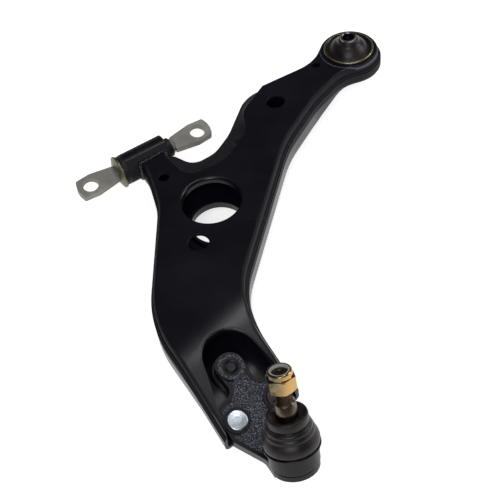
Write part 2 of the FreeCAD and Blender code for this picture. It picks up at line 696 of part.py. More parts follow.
def dust_boot():
    """Gaiter: gripped on the housing neck below and on the stud above, with its shoulder between."""
    grip = NECK_R + SOFT_CLEAR
    stem = TAPER_R + SOFT_CLEAR
    low = BOOT_RING_H0 + RING_WIRE_R
    high = BOOT_RING_H1 + RING_WIRE_R
    wire_r = RING_WIRE_R + SOFT_CLEAR
    boot = on_joint([(grip, BOOT_FOOT_H, 0), (BOOT_FOOT_R, BOOT_FOOT_H, 0.8), (BOOT_FOOT_R, 29.5, 5),
                     (18.2, 39.5, 6), (BOOT_TOP_R, 44, 2), (BOOT_TOP_R, BOOT_TOP_H, 2), (stem, BOOT_TOP_H, 0),
                     (stem, BOOT_TOP_H - 4, 0), (BOOT_TOP_R - BOOT_T, BOOT_TOP_H - 5, 2),
                     (BOOT_TOP_R - BOOT_T, 42, 3), (BOOT_FOOT_R - BOOT_T, 30, 5), (grip + 1.5, 26.5, 0),
                     (grip, 26.5, 0)])
    grooves = [(low, BOOT_FOOT_R), (high, BOOT_TOP_R)]
    for height, radius in grooves:
        groove = Part.makeTorus(radius, wire_r, ORIGIN, AXIS_Z)
        boot = boot.cut(placed(groove, joint_point(height), JOINT_AXIS))
    return boot


def boot_ring(height, radius):
    ring = Part.makeTorus(radius, RING_WIRE_R, ORIGIN, AXIS_Z)
    return placed(ring, joint_point(height + RING_WIRE_R), JOINT_AXIS)


def fixing_head(across, along):
    """Flanged hexagon under the arm, its seat against the web."""
    head = hexagon(FIXING_AF, FIXING_H)
    head = head.fuse(revolved([(0, 0, 0), (FIXING_FLANGE_R, 0, 0), (FIXING_FLANGE_R, FIXING_FLANGE_T, 0.6),
                               (0, FIXING_FLANGE_T + 1, 0)]))
    return placed(head, bracket_point(across, along, END_DEPTH), SLOPE_UP * -1)


def bracket_bolt():
    shank = fixing_cylinder(0, 0, BOLT_R, END_DEPTH, TIP_BOSS_TOP - 0.6)
    return shank.fuse(fixing_head(0, 0)).removeSplitter()


def bracket_studs():
    studs = []
    for across, along in stud_places():
        shank = fixing_cylinder(across, along, STUD_R, STUD_HEAD_TOP + STUD_HEAD_T,
                                END_DEPTH + FIXING_H + THREAD_OUT)
        head = revolved([(0, 0, 0), (STUD_HEAD_R, 0, 0), (STUD_HEAD_R, STUD_HEAD_T - 0.4, 1),
                         (3, STUD_HEAD_T, 0), (0, STUD_HEAD_T, 0)])
        head = placed(head, bracket_point(across, along, STUD_HEAD_TOP + STUD_HEAD_T), SLOPE_UP)
        studs.append(shank.fuse(head))
    return Part.Compound(studs)


def bracket_nuts():
    nuts = []
    for across, along in stud_places():
        nuts.append(fixing_head(across, along).cut(fixing_cylinder(across, along, STUD_R, 0, 60)))
    return Part.Compound(nuts)


def save(name, shape):
    solids = shape.Solids
    result = solids[0] if len(solids) == 1 else Part.Compound(solids)
    result.exportStep("parts/" + name + ".step")
    print(name, len(solids), "valid" if result.isValid() else "INVALID", round(result.Volume / 1000, 2))


def main():
    os.makedirs("parts", exist_ok=True)
    pieces = [top_shell, bottom_shell, seam_welds, front_bush_tube, tube_welds, front_bush_outer_sleeve,
              front_bush_rubber, bar_pin, stop_washer, rear_bush_outer_sleeve, rear_bush_rubber,
              rear_bush_inner_sleeve, ball_joint_housing, end_cap, preload_washer, ball_seat, ball_stud, lock_nut,
              nylon_insert, dust_boot, bracket_bolt, bracket_studs, bracket_nuts]
    for piece in pieces:
        save(piece.__name__, piece())
    save("boot_ring_lower", boot_ring(BOOT_RING_H0, BOOT_FOOT_R))
    save("boot_ring_upper", boot_ring(BOOT_RING_H1, BOOT_TOP_R))


main()
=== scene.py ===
"""Finishes, soft pieces and photo stage of a pressed-steel suspension control arm."""

import json
import math
import random

import bmesh
import bpy
from bpy.props import FloatProperty, FloatVectorProperty, IntProperty, PointerProperty
from mathutils import Matrix, Vector


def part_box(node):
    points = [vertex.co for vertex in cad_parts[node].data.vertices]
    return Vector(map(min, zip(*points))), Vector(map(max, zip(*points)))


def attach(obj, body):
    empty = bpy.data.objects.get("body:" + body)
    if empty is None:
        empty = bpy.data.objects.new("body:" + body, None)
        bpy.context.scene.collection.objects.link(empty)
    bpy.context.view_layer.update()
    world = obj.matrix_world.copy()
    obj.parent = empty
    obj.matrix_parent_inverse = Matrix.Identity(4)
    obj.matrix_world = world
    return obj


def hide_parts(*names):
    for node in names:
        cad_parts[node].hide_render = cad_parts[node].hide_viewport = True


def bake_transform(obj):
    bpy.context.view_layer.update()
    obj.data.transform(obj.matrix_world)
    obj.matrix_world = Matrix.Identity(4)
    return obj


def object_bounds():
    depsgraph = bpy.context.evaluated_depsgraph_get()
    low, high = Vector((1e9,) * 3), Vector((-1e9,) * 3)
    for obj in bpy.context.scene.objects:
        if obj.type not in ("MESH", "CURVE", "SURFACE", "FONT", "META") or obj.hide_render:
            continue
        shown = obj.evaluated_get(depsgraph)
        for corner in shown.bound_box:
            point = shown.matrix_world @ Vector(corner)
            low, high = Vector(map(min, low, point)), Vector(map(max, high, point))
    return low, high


bl_info = {
    "name": "Suspension control arm",
    "version": (1, 0, 0),
    "blender": (4, 5, 0),
    "location": "View3D > Sidebar > Control arm",
    "description": "Finishes and soft pieces of a pressed-steel suspension control arm",
    "category": "Object",
}

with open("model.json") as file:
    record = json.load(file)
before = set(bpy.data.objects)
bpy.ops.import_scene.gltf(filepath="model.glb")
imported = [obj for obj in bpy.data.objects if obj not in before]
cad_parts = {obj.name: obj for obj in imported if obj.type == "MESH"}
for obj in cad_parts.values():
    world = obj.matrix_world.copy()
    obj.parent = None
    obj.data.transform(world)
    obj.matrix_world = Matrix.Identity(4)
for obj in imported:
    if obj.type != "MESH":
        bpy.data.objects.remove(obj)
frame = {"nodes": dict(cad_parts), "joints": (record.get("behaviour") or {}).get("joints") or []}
CAD_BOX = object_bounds()

MM = 0.001
MERGE = 1e-6  # metres within which two vertices are one
# Places and sizes of the CAD that the looks need, in millimetres, and angles
TOP_Z = 10.0  # level upper face
BEND_V = 147.0  # line where the upper face starts to slope, along the slope's direction
END_DROP = math.radians(17.0)
END_SKEW = math.radians(14.4)
PANEL_DEPTH = 11.8  # rough panel of the bracket under the slope
TIP = Vector((308.43, 259.19, -7.77))  # middle of the bracket's tip boss
BIG_HOLE = Vector((229.6, 97.3, 6.0))  # middle of the large opening of the upper pressing
BIG_LIP_R = 37.0  # from there to the outside of its turned-down lip
ARCH_X = (306.0, 34.0)  # middle and half width of the arch that is drawn down to the bracket's seat
ARCH_Y = 222.0  # where it starts
EYE_RIM_R = 30.8  # where the rim of the rear eye turns down
TUBE_R = 15.5  # outside of the front tube
NECK_X = (233.6, 262.6)  # sides of the neck that carries the tube
NECK_Z = (-11.0, 10.0)  # its lower and upper face
PIN_MID_X = 251.5
PIN_ROLL = math.radians(14.0)
HALF_PITCH = 61.5  # from the middle of the bar pin to the hole of a blade
BALL_HEIGHT = 19.0  # centre of the ball over the closed end of the housing
NUT_FOOT = 77.0  # lower face of the lock nut, from the same end
NUT_MIDDLE = 88.0

# What the photograph shows and the CAD has otherwise
END_CUT = Vector((348, 311, 0))  # a point of the cut that ends the pressings
END_CUT_SKEW = math.radians(6.5)
HOLE_FORWARD = 5.5  # shift of the lower opening towards the outer end
HOLE_WIDER = 1.06
NUT_SEAT = 80.0  # where the lock nut really sits
NUT_SQUAT = 0.9  # its height against the CAD's
NUT_TURN = math.radians(14.0)
# Lines that bound a blade of the bar pin: direction from the hole, free end at +X, and distance
BLADE_SIDES = ((1, 0, 13.6), (-1, 0, 28.5), (0.08, 1, 11.2), (0.08, -1, 11.2), (-0.16, 1, 12.2),
               (-0.16, -1, 12.2), (0.75, 1, 18.2), (0.75, -1, 18.2), (1, 0.28, 14.4), (1, -0.28, 14.4))
BLADE_HOLE_R = 8.0
BLADE_THICK = 8.0
BLADE_CHAMFER = 0.7

LAMPS = (  # name, place, aim, size in metres and watts
    ("key", (1.2, 1.6, 1.8), (0.2, 0.15, 0), 1.0, 25.0),
    ("fill", (-1.7, 0.7, 1.0), (0.2, 0.15, 0), 0.8, 13.0),
    ("back", (-0.5, -0.18, 1.9), (0.25, 0.2, 0), 0.5, 5.0),
)
CAMERA_AT = (0.4936, 0.7309, 0.7390)
CAMERA_BACK = Vector((0.2731, 0.5848, 0.7638))  # from the object to the camera
CAMERA_UP = Vector((-0.4639, -0.6154, 0.637))


def joint_placement():
    """Matrix from the ball joint's own frame, heights from its closed end, to the row frame."""
    joint = next(j for j in frame["joints"] if j["name"] == "stud_turn")
    axis = Vector(joint["axis"]).normalized()
    base = Vector(joint["pos_m"]) - axis * BALL_HEIGHT * MM
    turn = Vector((0, 0, 1)).rotation_difference(axis).to_matrix().to_4x4()
    return Matrix.Translation(base) @ turn


JOINT = joint_placement()


def linear(code):
    """Linear colour of an sRGB hex code."""
    parts = [int(code[i:i + 2], 16) / 255 for i in (1, 3, 5)]
    return tuple(c / 12.92 if c <= 0.04045 else ((c + 0.055) / 1.055) ** 2.4 for c in parts) + (1.0,)


def colour(name, description, code):
    return FloatVectorProperty(name=name, description=description, subtype="COLOR", size=4,
                               min=0, max=1, default=linear(code))


def length(name, description, mm):
    return FloatProperty(name=name, description=description, unit="LENGTH", subtype="DISTANCE",
                         min=0, default=mm * MM)


class CoatSettings(bpy.types.PropertyGroup):
    coat: colour("Coat", "Black dip coat of the pressings", "#0a0a13")
    forging: colour("Forging coat", "Black coat of the rough forged bracket", "#0e0e13")
    # The dust colour also paints the highlight on the rim of the rear eye
    dust: colour("Dust", "Specks of dust and rubbed spots", "#62626e")
    peel: length("Orange peel", "Width of the ripples in the coat", 2.2)
    speck: length("Speck spacing", "Typical distance between specks", 11.0)
    grit: length("Forging grit", "Width of the grains on the bracket, as on the real one", 0.5)


class MetalSettings(bpy.types.PropertyGroup):
    blade: colour("Bar pin", "Shot-blasted forged steel", "#928e88")
    zinc: colour("Zinc", "Bright zinc of the round heads and flange nuts", "#d3dae2")
    yellow: colour("Yellow zinc", "Chromated zinc of the lock nut", "#9c9474")
    washer: colour("Washer", "Dull chromated zinc of the stop washer", "#7b7867")
    ring: colour("Rear ring", "Chromated zinc of the ring in the rear eye", "#8e8a70")
    turned: colour("Turned steel", "Bare machined steel", "#85858a")
    taper: colour("Taper", "Ground and oiled cone of the stud", "#6b5f52")
    blast: length("Blast grain", "Width of the pits, drawn coarse enough to show", 0.9)


class RubberSettings(bpy.types.PropertyGroup):
    rubber: colour("Rubber", "Moulded rubber of the bushes", "#110e12")
    gaiter: colour("Gaiter", "Moulded rubber of the gaiter", "#0f0d0c")
    nylon: colour("Nylon", "Ring of the lock nut and seat of the ball", "#aeb4b4")
    grain: length("Mould grain", "Width of the mould's grain, drawn coarse enough to show", 0.8)


class ShapeSettings(bpy.types.PropertyGroup):
    sides: IntProperty(name="Gaiter steps", description="Steps round the gaiter", subtype="UNSIGNED",
                       default=96, min=24, max=256)
    thread_pitch: length("Thread pitch", "Pitch of the ball stud's thread", 1.5)
    weld_step: length("Weld ripple", "Distance between the ripples of the weld beads", 2.3)


class StageSettings(bpy.types.PropertyGroup):
    floor: colour("Floor", "Pale studio floor", "#f4f4f4")
    focal: FloatProperty(name="Focal length", description="Camera lens on a 36 mm sensor",
                         subtype="DISTANCE_CAMERA", default=75.6, min=10)


class ArmSettings(bpy.types.PropertyGroup):
    coat: PointerProperty(type=CoatSettings)
    metal: PointerProperty(type=MetalSettings)
    rubber: PointerProperty(type=RubberSettings)
    shape: PointerProperty(type=ShapeSettings)
    stage: PointerProperty(type=StageSettings)


def add(tree, kind, inputs=(), out=0, **settings):
    """Add a shader node with its settings, fill its sockets in order or by name, and return one output."""
    made = tree.nodes.new("ShaderNode" + kind)
    for name, value in settings.items():
        setattr(made, name, value)
    for socket, value in (inputs if isinstance(inputs, dict) else dict(enumerate(inputs))).items():
        if isinstance(value, bpy.types.NodeSocket):
            tree.links.new(value, made.inputs[socket])
        else:
            made.inputs[socket].default_value = value
    return made.outputs[out] if made.outputs else None


# Sockets of a Mix node that mixes colours
MIX, FIRST, SECOND, MIXED = 0, 6, 7, 2


def new_material(name):
    material = bpy.data.materials.new(name)
    material.use_nodes = True
    material.node_tree.nodes.clear()
    return material, material.node_tree


def features(width):
    """Scale of a noise or wave whose real features are about that wide, in metres."""
    return 0.5 / width


def shade(colour_value, amount):
    return tuple(c * amount for c in colour_value[:3]) + (1.0,)


def place(tree, turn=(0, 0, 0), stretch=(1, 1, 1)):
    """Object coordinates in metres, turned and stretched."""
    coords = add(tree, "TexCoord", out="Object")
    return add(tree, "Mapping", {"Vector": coords, "Rotation": turn, "Scale": stretch})


def specks(tree, where, spacing, radius, share):
    """Small round spots, one in some of the cells of that spacing."""
    cells = add(tree, "TexVoronoi", {"Vector": where, "Scale": 1 / spacing, "Randomness": 1.0}, out="Distance")
    near = add(tree, "MapRange", {"Value": cells, "From Min": radius / spacing * 0.6,
                                  "From Max": radius / spacing, "To Min": 1, "To Max": 0})
    lot = add(tree, "SeparateColor", {"Color": cells.node.outputs["Color"]})
    return add(tree, "Math", (near, add(tree, "Math", (lot, share), operation="LESS_THAN")), operation="MULTIPLY")


def arch_part(tree, where):
    """1 round the arch that is drawn down to the bracket's seat."""
    x = add(tree, "SeparateXYZ", (where,), out="X")
    y = add(tree, "SeparateXYZ", (where,), out="Y")
    outer = add(tree, "Math", (y, ARCH_Y * MM), operation="GREATER_THAN")
    beside = add(tree, "Math", (x, ARCH_X[0] * MM, ARCH_X[1] * MM), operation="COMPARE")
    return add(tree, "Math", (outer, beside), operation="MULTIPLY")


def dull_part(tree, where):
    """1 on the drawn upper wall, where the coat dries dull, and 0 on the level faces, the lips and the lower wall."""
    level = add(tree, "SeparateXYZ", (add(tree, "NewGeometry", out="Normal"),), out="Z")
    steep = add(tree, "MapRange", {"Value": level, "From Min": 0.925, "From Max": 0.95, "To Min": 1, "To Max": 0},
                interpolation_type="SMOOTHSTEP")
    height = add(tree, "SeparateXYZ", (where,), out="Z")
    upper = add(tree, "MapRange", {"Value": height, "From Min": -8.5 * MM, "From Max": -6.5 * MM, "To Min": 0,
                                   "To Max": 1}, interpolation_type="SMOOTHSTEP")
    out = add(tree, "VectorMath", (where, BIG_HOLE * MM), out="Value", operation="DISTANCE")
    lip = add(tree, "Math", (out, BIG_LIP_R * MM), operation="LESS_THAN")
    lips = add(tree, "Math", (arch_part(tree, where), lip), operation="MAXIMUM")
    wall = add(tree, "Math", (steep, upper), operation="MULTIPLY")
    return add(tree, "Math", (wall, add(tree, "Math", (1.0, lips), operation="SUBTRACT")), operation="MULTIPLY")


def painted_eye_rim_highlight(tree, where):
    """Thin painted highlight, a pale line of colour, where the rim of the rear eye turns down."""
    flat = add(tree, "VectorMath", (where, (1, 1, 0)), operation="MULTIPLY")
    out = add(tree, "VectorMath", (flat,), out="Value", operation="LENGTH")
    line = add(tree, "Math", (out, EYE_RIM_R * MM, 0.4 * MM), operation="COMPARE")
    high = add(tree, "Math", (add(tree, "SeparateXYZ", (where,), out="Z"), 6 * MM), operation="GREATER_THAN")
    return add(tree, "Math", (line, add(tree, "Math", (high, 0.8), operation="MULTIPLY")), operation="MULTIPLY")


def dip_coated_steel(settings):
    """Steel sheet dipped in black electrocoat: deep satin black, slight orange peel, dust and rubbed spots, and a
    thin painted highlight along the rim of the rear eye.
    """
    material, tree = new_material("Electrocoated steel pressing")
    where = place(tree)
    dust = specks(tree, where, settings.speck, 0.6 * MM, 0.4)
    rubs = specks(tree, place(tree, (0, 0, 0.6), (0.16, 1, 1)), settings.speck * 1.6, 0.4 * MM, 0.35)
    cloud = add(tree, "TexNoise", {"Vector": where, "Scale": features(30 * MM), "Detail": 4, "Roughness": 0.55})
    dusty = add(tree, "MapRange", {"Value": cloud, "From Min": 0.42, "From Max": 0.56, "To Min": 0.15, "To Max": 0.9})
    marks = add(tree, "Math", (add(tree, "Math", (dust, rubs), operation="MAXIMUM"), dusty), operation="MULTIPLY")
    thick = add(tree, "MapRange", {"Value": cloud, "From Min": 0.35, "From Max": 0.7, "To Min": 0, "To Max": 1})
    base = add(tree, "Mix", {MIX: thick, FIRST: settings.coat, SECOND: shade(settings.coat, 1.7)}, out=MIXED,
               data_type="RGBA")
    # Dust and rubbed spots, and the painted highlight on the eye's rim, take the pale dust colour
    dust_and_rim_highlight = add(tree, "Math", (marks, painted_eye_rim_highlight(tree, where)), operation="MAXIMUM")
    satin = add(tree, "MapRange", {"Value": cloud, "From Min": 0.3, "From Max": 0.7, "To Min": 0.24, "To Max": 0.33})
    dull = add(tree, "Math", (marks, dull_part(tree, where)), operation="MAXIMUM")
    # Sheared edges are rounded by 0.7 mm, and much more where the arch is drawn down
    drawn = add(tree, "Math", (arch_part(tree, where), 3.4 * MM), operation="MULTIPLY")
    soft = add(tree, "Bevel", {"Radius": add(tree, "Math", (drawn, 0.7 * MM), operation="ADD")}, samples=6)
    peel = add(tree, "TexNoise", {"Vector": where, "Scale": features(settings.peel), "Detail": 2, "Roughness": 0.55})
    shader = add(tree, "BsdfPrincipled", {
        "Base Color": add(tree, "Mix", {MIX: dust_and_rim_highlight, FIRST: base, SECOND: settings.dust}, out=MIXED, data_type="RGBA"),
        "Roughness": add(tree, "Math", (satin, add(tree, "Math", (dull, 0.5), operation="MULTIPLY")),
                         operation="ADD"),
        "Specular IOR Level": 0.36,
        "Normal": add(tree, "Bump", {"Height": peel, "Strength": 0.12, "Distance": 0.1 * MM, "Normal": soft}),
    })
    add(tree, "OutputMaterial", {"Surface": shader})
    return material


def dip_coated_weld(settings):
    """Arc weld bead under the same black coat: rippled, a little glossier and bluish where the coat runs thin."""
    material, tree = new_material("Electrocoated weld bead")
    where = place(tree)
    ripple = add(tree, "TexNoise", {"Vector": where, "Scale": features(1.2 * MM), "Detail": 3, "Roughness": 0.55})
    cloud = add(tree, "TexNoise", {"Vector": where, "Scale": features(5 * MM), "Detail": 3, "Roughness": 0.55})
    thin = add(tree, "MapRange", {"Value": cloud, "From Min": 0.52, "From Max": 0.68, "To Min": 0, "To Max": 1})
    shader = add(tree, "BsdfPrincipled", {
        "Base Color": add(tree, "Mix", {MIX: thin, FIRST: settings.coat, SECOND: linear("#39404f")}, out=MIXED,
                          data_type="RGBA"),
        "Metallic": add(tree, "Math", (thin, 0.5), operation="MULTIPLY"),
        "Roughness": 0.33,
        "Normal": add(tree, "Bump", {"Height": ripple, "Strength": 0.5, "Distance": 0.4 * MM}),
    })
    add(tree, "OutputMaterial", {"Surface": shader})
    return material


def slope_up():
    """Upward normal of the sloping outer end."""
    along = Vector((math.cos(END_SKEW), math.sin(END_SKEW), 0))
    down = Vector((-math.sin(END_SKEW) * math.cos(END_DROP), math.cos(END_SKEW) * math.cos(END_DROP),
                   -math.sin(END_DROP)))
    return along.cross(down)


def rough_part(tree, where):
    """1 on the bracket's sunken panel and on a ring of its tip boss, which keep the forging scale."""
    up = slope_up()
    bend = Vector((-math.sin(END_SKEW) * BEND_V, math.cos(END_SKEW) * BEND_V, TOP_Z)) * MM
    level = add(tree, "VectorMath", (where, up), out="Value", operation="DOT_PRODUCT")
    deep = add(tree, "Math", (level, up.dot(bend) - PANEL_DEPTH * MM, 0.4 * MM), operation="COMPARE")
    out = add(tree, "VectorMath", (where, TIP * MM), out="Value", operation="DISTANCE")
    boss = add(tree, "Math", (out, 10.4 * MM, 1.9 * MM), operation="COMPARE")
    facing = add(tree, "VectorMath", (add(tree, "NewGeometry", out="Normal"), up), out="Value",
                 operation="DOT_PRODUCT")
    flat = add(tree, "Math", (facing, 0.95), operation="GREATER_THAN")
    return add(tree, "Math", (add(tree, "Math", (deep, boss), operation="MAXIMUM"), flat), operation="MULTIPLY")


def rough_forging(settings):
    """Hot forging under black coat: gritty scale on the panel with painted glints, pale grains in its base colour;
    the worked borders are smooth.
    """
    material, tree = new_material("Coated drop forging")
    where = place(tree)
    panel = rough_part(tree, where)
    grit = add(tree, "TexNoise", {"Vector": where, "Scale": features(settings.grit), "Detail": 2, "Roughness": 0.7})
    fine = add(tree, "TexNoise", {"Vector": where, "Scale": features(settings.grit * 3), "Detail": 3,
                                  "Roughness": 0.55})
    # Painted glints: the brightest grains of the panel's grit are coloured pale grey
    bright = add(tree, "MapRange", {"Value": grit, "From Min": 0.52, "From Max": 0.62, "To Min": 0, "To Max": 1})
    painted_glint = add(tree, "Math", (bright, panel), operation="MULTIPLY")
    satin = add(tree, "MapRange", {"Value": fine, "From Min": 0.3, "From Max": 0.7, "To Min": 0.32, "To Max": 0.42})
    rough = add(tree, "Math", (add(tree, "Math", (panel, 0.7), operation="MULTIPLY"), 0.12), operation="ADD")
    shader = add(tree, "BsdfPrincipled", {
        "Base Color": add(tree, "Mix", {MIX: painted_glint, FIRST: settings.forging, SECOND: linear("#7d7f90")}, out=MIXED,
                          data_type="RGBA"),
        "Roughness": add(tree, "Math", (satin, add(tree, "Math", (painted_glint, 0.1), operation="MULTIPLY")),
                         operation="SUBTRACT"),
        "Specular IOR Level": 0.28,
        "Normal": add(tree, "Bump", {"Height": grit, "Strength": rough, "Distance": 0.5 * MM}),
    })
    add(tree, "OutputMaterial", {"Surface": shader})
    return material


def blasted_steel(settings):
    """Forged steel cleaned by shot: warm light grey, pitted, with darker scale left in places."""
    material, tree = new_material("Shot-blasted forged steel")
    where = place(tree)
    pits = add(tree, "TexNoise", {"Vector": where, "Scale": features(settings.blast), "Detail": 3,
                                  "Roughness": 0.65})
    stain = add(tree, "TexNoise", {"Vector": where, "Scale": features(12 * MM), "Detail": 4, "Roughness": 0.55})
    scale_left = add(tree, "Math", (specks(tree, where, 6 * MM, 0.6 * MM, 0.5), 0.7), operation="MULTIPLY")
    cloudy = add(tree, "MapRange", {"Value": stain, "From Min": 0.4, "From Max": 0.7, "To Min": 0, "To Max": 1})
    base = add(tree, "Mix", {MIX: cloudy, FIRST: settings.blade, SECOND: shade(settings.blade, 0.78)}, out=MIXED,
               data_type="RGBA")
    shader = add(tree, "BsdfPrincipled", {
        "Base Color": add(tree, "Mix", {MIX: scale_left, FIRST: base, SECOND: linear("#3a3633")}, out=MIXED,
                          data_type="RGBA"),
        "Metallic": 0.55,
        "Roughness": add(tree, "MapRange", {"Value": stain, "From Min": 0.3, "From Max": 0.7, "To Min": 0.44,
                                            "To Max": 0.56}),
        "Normal": add(tree, "Bump", {"Height": pits, "Strength": 0.25, "Distance": 0.2 * MM}),
    })
    add(tree, "OutputMaterial", {"Surface": shader})
    return material


def painted_light_side(tree, where):
    """0 to 1 across the lock nut, along the camera's right, for the painted shade on one side and the painted
    reflection on the other.
    """
    across = Vector((-0.843, 0.528, -0.103))
    middle = across.dot(JOINT @ Vector((0, 0, NUT_MIDDLE * MM)))
    side = add(tree, "VectorMath", (where, across), out="Value", operation="DOT_PRODUCT")
    return add(tree, "MapRange", {"Value": side, "From Min": middle - 6 * MM, "From Max": middle + 9 * MM,
                                  "To Min": 0, "To Max": 1}, interpolation_type="SMOOTHSTEP")


def chromated_nut(settings):
    """Yellow chromate over zinc: smooth bright metal, with painted shade in dark olive on one side and a painted gold
    reflection on the other.
    """
    material, tree = new_material("Yellow chromated nut")
    where = place(tree)
    # Painted shade and reflection: dark olive on one side of the nut, gold on the other
    film = add(tree, "Mix", {MIX: painted_light_side(tree, where), FIRST: linear("#4b4331"), SECOND: linear("#c79a5c")},
               out=MIXED, data_type="RGBA")
    cloud = add(tree, "TexNoise", {"Vector": where, "Scale": features(3 * MM), "Detail": 3, "Roughness": 0.55})
    thin = add(tree, "MapRange", {"Value": cloud, "From Min": 0.35, "From Max": 0.7, "To Min": 0, "To Max": 0.5})
    shader = add(tree, "BsdfPrincipled", {
        "Base Color": add(tree, "Mix", {MIX: thin, FIRST: film, SECOND: settings.yellow}, out=MIXED,
                          data_type="RGBA"),
        "Metallic": 1.0,
        "Roughness": add(tree, "MapRange", {"Value": cloud, "From Min": 0.3, "From Max": 0.7, "To Min": 0.14,
                                            "To Max": 0.24}),
        "Normal": add(tree, "Bump", {"Height": cloud, "Strength": 0.06, "Distance": 0.1 * MM}),
    })
    add(tree, "OutputMaterial", {"Surface": shader})
    return material


def plated(name, base_colour, tint, roughness, coat=None, black_below=0.0):
    """Electroplated zinc: bright metal, cloudy where the passivation is uneven, with fine tool marks.

    What lies below the given X, in metres, takes the given black colour and no metal.
    """
    material, tree = new_material(name)
    where = place(tree)
    cloud = add(tree, "TexNoise", {"Vector": where, "Scale": features(4 * MM), "Detail": 3, "Roughness": 0.55})
    scratch = add(tree, "TexNoise", {"Vector": place(tree, (0.4, 0.2, 0.1), (1, 6, 1)), "Detail": 3,
                                     "Scale": features(1.5 * MM), "Roughness": 0.55})
    cloudy = add(tree, "MapRange", {"Value": cloud, "From Min": 0.4, "From Max": 0.65, "To Min": 0, "To Max": 1})
    film = add(tree, "Mix", {MIX: cloudy, FIRST: base_colour, SECOND: tint}, out=MIXED, data_type="RGBA")
    bare = 1.0
    if coat is not None:
        x = add(tree, "SeparateXYZ", (where,), out="X")
        bare = add(tree, "Math", (x, black_below), operation="GREATER_THAN")
        film = add(tree, "Mix", {MIX: bare, FIRST: coat, SECOND: film}, out=MIXED, data_type="RGBA")
    shader = add(tree, "BsdfPrincipled", {
        "Base Color": film,
        "Metallic": bare,
        "Roughness": add(tree, "MapRange", {"Value": scratch, "From Min": 0.3, "From Max": 0.7,
                                            "To Min": roughness - 0.05, "To Max": roughness + 0.08}),
        "Normal": add(tree, "Bump", {"Height": scratch, "Strength": 0.12, "Distance": 0.1 * MM}),
    })
    add(tree, "OutputMaterial", {"Surface": shader})
    return material


def moulded_rubber(settings, name, base_colour, gloss):
    """Compression-moulded rubber: near black, soft sheen, with a purplish bloom and mould grain."""
    material, tree = new_material(name)
    where = place(tree)
    grain = add(tree, "TexNoise", {"Vector": where, "Scale": features(settings.grain), "Detail": 2,
                                   "Roughness": 0.55})
    cloud = add(tree, "TexNoise", {"Vector": where, "Scale": features(11 * MM), "Detail": 4, "Roughness": 0.55})
    bloom = add(tree, "MapRange", {"Value": cloud, "From Min": 0.42, "From Max": 0.66, "To Min": 0, "To Max": 1})
    shader = add(tree, "BsdfPrincipled", {
        "Base Color": add(tree, "Mix", {MIX: bloom, FIRST: base_colour, SECOND: linear("#2b2124")}, out=MIXED,
                          data_type="RGBA"),
        "Roughness": add(tree, "MapRange", {"Value": cloud, "From Min": 0.3, "From Max": 0.7, "To Min": gloss,
                                            "To Max": gloss + 0.1}),
        "Specular IOR Level": 0.3,
        "Sheen Weight": 0.04,
        "Sheen Roughness": 0.5,
        "Normal": add(tree, "Bump", {"Height": grain, "Strength": 0.12, "Distance": 0.2 * MM}),
    })
    add(tree, "OutputMaterial", {"Surface": shader})
    return material


def moulded_nylon(settings):
    """Injection-moulded nylon: pale grey, translucent, with a soft gloss."""
    material, tree = new_material("Moulded nylon")
    cloud = add(tree, "TexNoise", {"Vector": place(tree), "Scale": features(2 * MM), "Detail": 3,
                                   "Roughness": 0.55})
    shader = add(tree, "BsdfPrincipled", {
        "Base Color": add(tree, "Mix", {MIX: cloud, FIRST: settings.nylon, SECOND: shade(settings.nylon, 0.8)},
                          out=MIXED, data_type="RGBA"),
        "Roughness": 0.42,
        "Subsurface Weight": 0.15,
        "Subsurface Radius": (MM, MM, MM),
        "Normal": add(tree, "Bump", {"Height": cloud, "Strength": 0.1, "Distance": 0.1 * MM}),
    })
    add(tree, "OutputMaterial", {"Surface": shader})
    return material


def turned_steel(name, base_colour, pitch, roughness=0.3):
    """Machined steel: fine tool rings and an oily darkness in the roots."""
    material, tree = new_material(name)
    where = place(tree)
    rings = add(tree, "TexWave", {"Vector": where, "Scale": features(pitch), "Distortion": 1.5, "Detail": 2.0},
                out="Fac", wave_type="RINGS", rings_direction="Z")
    cloud = add(tree, "TexNoise", {"Vector": where, "Scale": features(4 * MM), "Detail": 3, "Roughness": 0.55})
    oil = add(tree, "MapRange", {"Value": cloud, "From Min": 0.4, "From Max": 0.65, "To Min": 0, "To Max": 1})
    shader = add(tree, "BsdfPrincipled", {
        "Base Color": add(tree, "Mix", {MIX: oil, FIRST: base_colour, SECOND: shade(base_colour, 0.55)}, out=MIXED,
                          data_type="RGBA"),
        "Metallic": 1.0,
        "Roughness": add(tree, "MapRange", {"Value": cloud, "From Min": 0.3, "From Max": 0.7,
                                            "To Min": roughness - 0.06, "To Max": roughness + 0.08}),
        "Normal": add(tree, "Bump", {"Height": rings, "Strength": 0.05, "Distance": 0.1 * MM}),
    })
    add(tree, "OutputMaterial", {"Surface": shader})
    return material


def only(obj):
    """Select one object alone and make it active."""
    bpy.ops.object.select_all(action="DESELECT")
    obj.select_set(True)
    bpy.context.view_layer.objects.active = obj


def drawn_profile(name, profile):
    """Line through (radius, height) points in millimetres, left in edit mode."""
    bpy.ops.object.select_all(action="DESELECT")
    bpy.ops.mesh.primitive_plane_add(size=0.001, location=(0, 0, 0))
    obj = bpy.context.active_object
    obj.name = name
    bpy.ops.object.mode_set(mode="EDIT")
    bpy.ops.mesh.select_all(action="SELECT")
    bpy.ops.mesh.merge(type="CENTER")
    points = [Vector((r * MM, 0, h * MM)) for r, h in profile]
    bpy.ops.transform.translate(value=points[0])
    for before, after in zip(points, points[1:]):
        bpy.ops.mesh.extrude_vertices_move(TRANSFORM_OT_translate={"value": after - before})
    return obj


